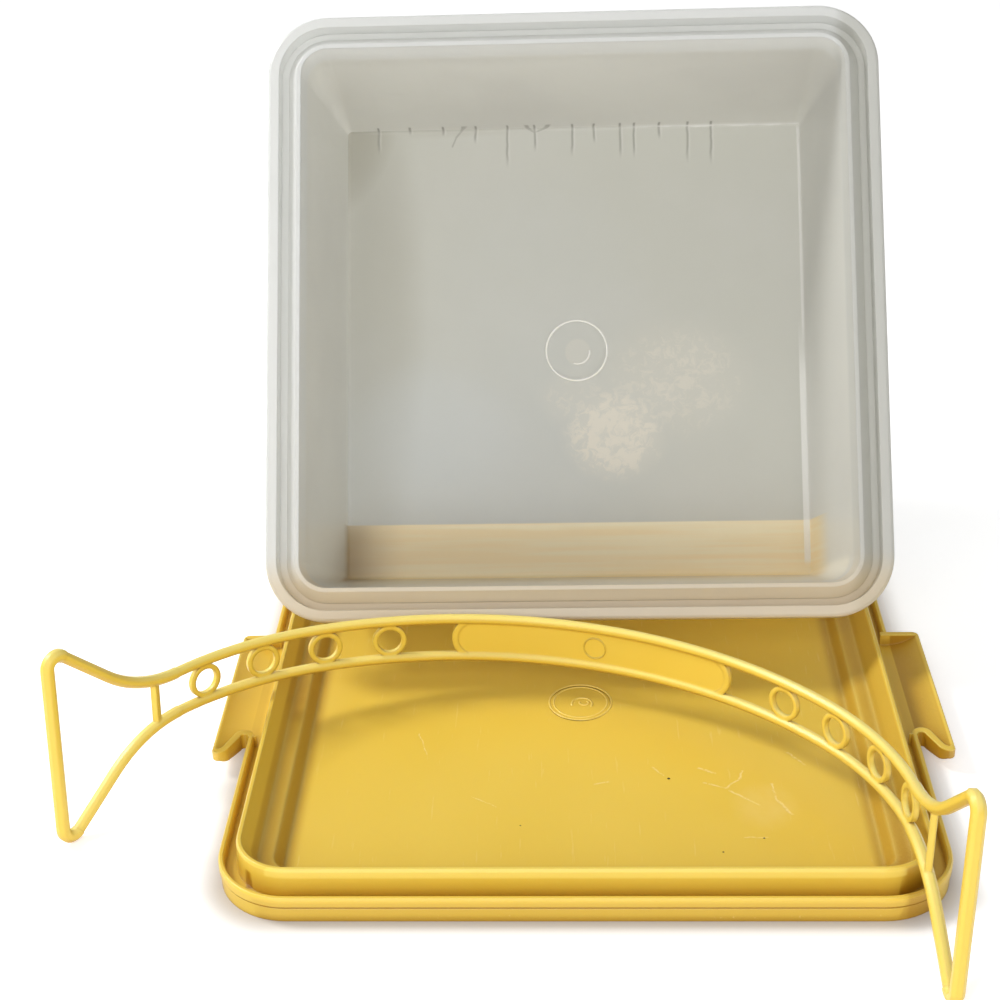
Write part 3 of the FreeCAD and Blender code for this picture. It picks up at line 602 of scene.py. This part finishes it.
def end_point(across, up):
    return COVER_AT + COVER_TURN @ (Vector((across, COVER_DEEP, up)) * MM)


# Each mark: where it rides and what it is made of, then centre, way out, radius, thickness, start and turn.
tray_mark = ("tray", "tray_yellow", tray_line_plastic)
cover_mark = ("cover", "cover_translucent", cover_line_plastic)
grip_face = GRIP_AT - GRIP_OUT * (GRIP_THICK / 2 * MM)
ring("tray_mark_outer", *tray_mark, floor_point(0, 0), UP, 12.2, 0.8)
ring("tray_mark_inner", *tray_mark, floor_point(0, 0), UP, 10.5, 0.7)
ring("tray_mark_swirl", *tray_mark, floor_point(0.6, -1.2), UP, 4.0, 0.9, 150, 230)
ring("tray_mark_curl", *tray_mark, floor_point(1.4, -0.4), UP, 1.7, 0.9, 330, 250)
ring("cover_mark_ring", *cover_mark, end_point(0.6, -0.5), END_OUT, 13.5, 0.85)
# At the gate, a raised partial ring on its edge, drawn only where that edge catches the light, so partly a
# painted highlight.
ring("cover_gate_highlight", *cover_mark, end_point(1.1, -1.3), END_OUT, 5.2, 0.8, 250, 120)
ring("grip_mark", "handle", "handle_yellow", handle_plastic, grip_face, -GRIP_OUT, 4.3, 0.8)

# Surroundings: a pale floor that runs out of sight with a painted contact shadow round the tray, and soft
# lights.
FLOOR_REACH = 12.0
FLOOR_WHITE = (0.9, 0.9, 0.9)
FLOOR_SHADE = (0.5, 0.46, 0.42)
# The floor's own even glow, and how much of it the painted shadow takes away.
FLOOR_GLOW = 0.48
FLOOR_GLOW_LOST = -0.4
# The painted shadow is a square with round corners: its straight part, and how far round it the shadow starts
# and ends.
SHADE_SQUARE = 104
SHADE_BORDER = (36, 18)
WHITE = (1, 1, 1)
WORLD_LIGHT = 0.4
# Name, place, target, width and power.
LIGHTS = (
    ("key", (-1.05, 0.28, 1.1), (0, 0.0, 0.02), 0.4, 14),
    ("front", (-0.25, -1.7, 0.9), (0, 0.05, 0.08), 1.6, 21),
)
CAMERA_AT = (-0.00446, -0.59848, 0.40807)
CAMERA_TURNS = ((2.37, "Z"), (-27.74, "X"), (1.59, "Y"), (90, "X"))
CAMERA_SENSOR = 36
CAMERA_LENS = 65.71
CAMERA_SIGHT = 60

corners = [(-FLOOR_REACH, -FLOOR_REACH, 0), (FLOOR_REACH, -FLOOR_REACH, 0)]
corners += [(FLOOR_REACH, FLOOR_REACH, 0), (-FLOOR_REACH, FLOOR_REACH, 0)]
floor_mesh = bpy.data.meshes.new("floor")
floor_mesh.from_pydata(corners, [], [(0, 1, 2, 3)])
floor = bpy.data.objects.new("floor", floor_mesh)
bpy.context.scene.collection.objects.link(floor)
paint = Nodes("floor_paint")
past = [
    paint.math("MAXIMUM", paint.math("SUBTRACT", paint.math("ABSOLUTE", measure), SHADE_SQUARE), 0)
    for measure in paint.split(paint.position())[:2]
]
squares = [paint.times(measure, measure) for measure in past]
painted_shadow = paint.step(paint.math("SQRT", paint.math("ADD", *squares)), *SHADE_BORDER)
plain = paint.node("ShaderNodeBsdfDiffuse", Color=paint.mix(painted_shadow, FLOOR_WHITE, FLOOR_SHADE))
glow = paint.math("MULTIPLY_ADD", painted_shadow, FLOOR_GLOW_LOST, FLOOR_GLOW)
shining = paint.node("ShaderNodeEmission", Color=WHITE, Strength=glow)
floor_mesh.materials.append(paint.finish(paint.join("ShaderNodeAddShader", plain, shining)))

world = bpy.data.worlds.new("studio")
bpy.context.scene.world = world
world.use_nodes = True
background = world.node_tree.nodes["Background"]
background.inputs["Color"].default_value = (*WHITE, 1)
background.inputs["Strength"].default_value = WORLD_LIGHT

for name, place, target, width, power in LIGHTS:
    lamp = bpy.data.lights.new(name, "AREA")
    lamp.shape = "SQUARE"
    lamp.size = width
    lamp.energy = power
    light = bpy.data.objects.new(name, lamp)
    bpy.context.scene.collection.objects.link(light)
    light.location = place
    light.rotation_euler = (Vector(target) - Vector(place)).to_track_quat("-Z", "Y").to_euler()

camera_data = bpy.data.cameras.new("camera")
camera_data.sensor_width = CAMERA_SENSOR
camera_data.lens = CAMERA_LENS
camera_data.clip_end = CAMERA_SIGHT
camera = bpy.data.objects.new("camera", camera_data)
bpy.context.scene.collection.objects.link(camera)
camera.matrix_world = Matrix.Translation(CAMERA_AT) @ turned(CAMERA_TURNS, 4)
bpy.context.scene.camera = camera
bpy.context.scene.view_settings.view_transform = "Standard"
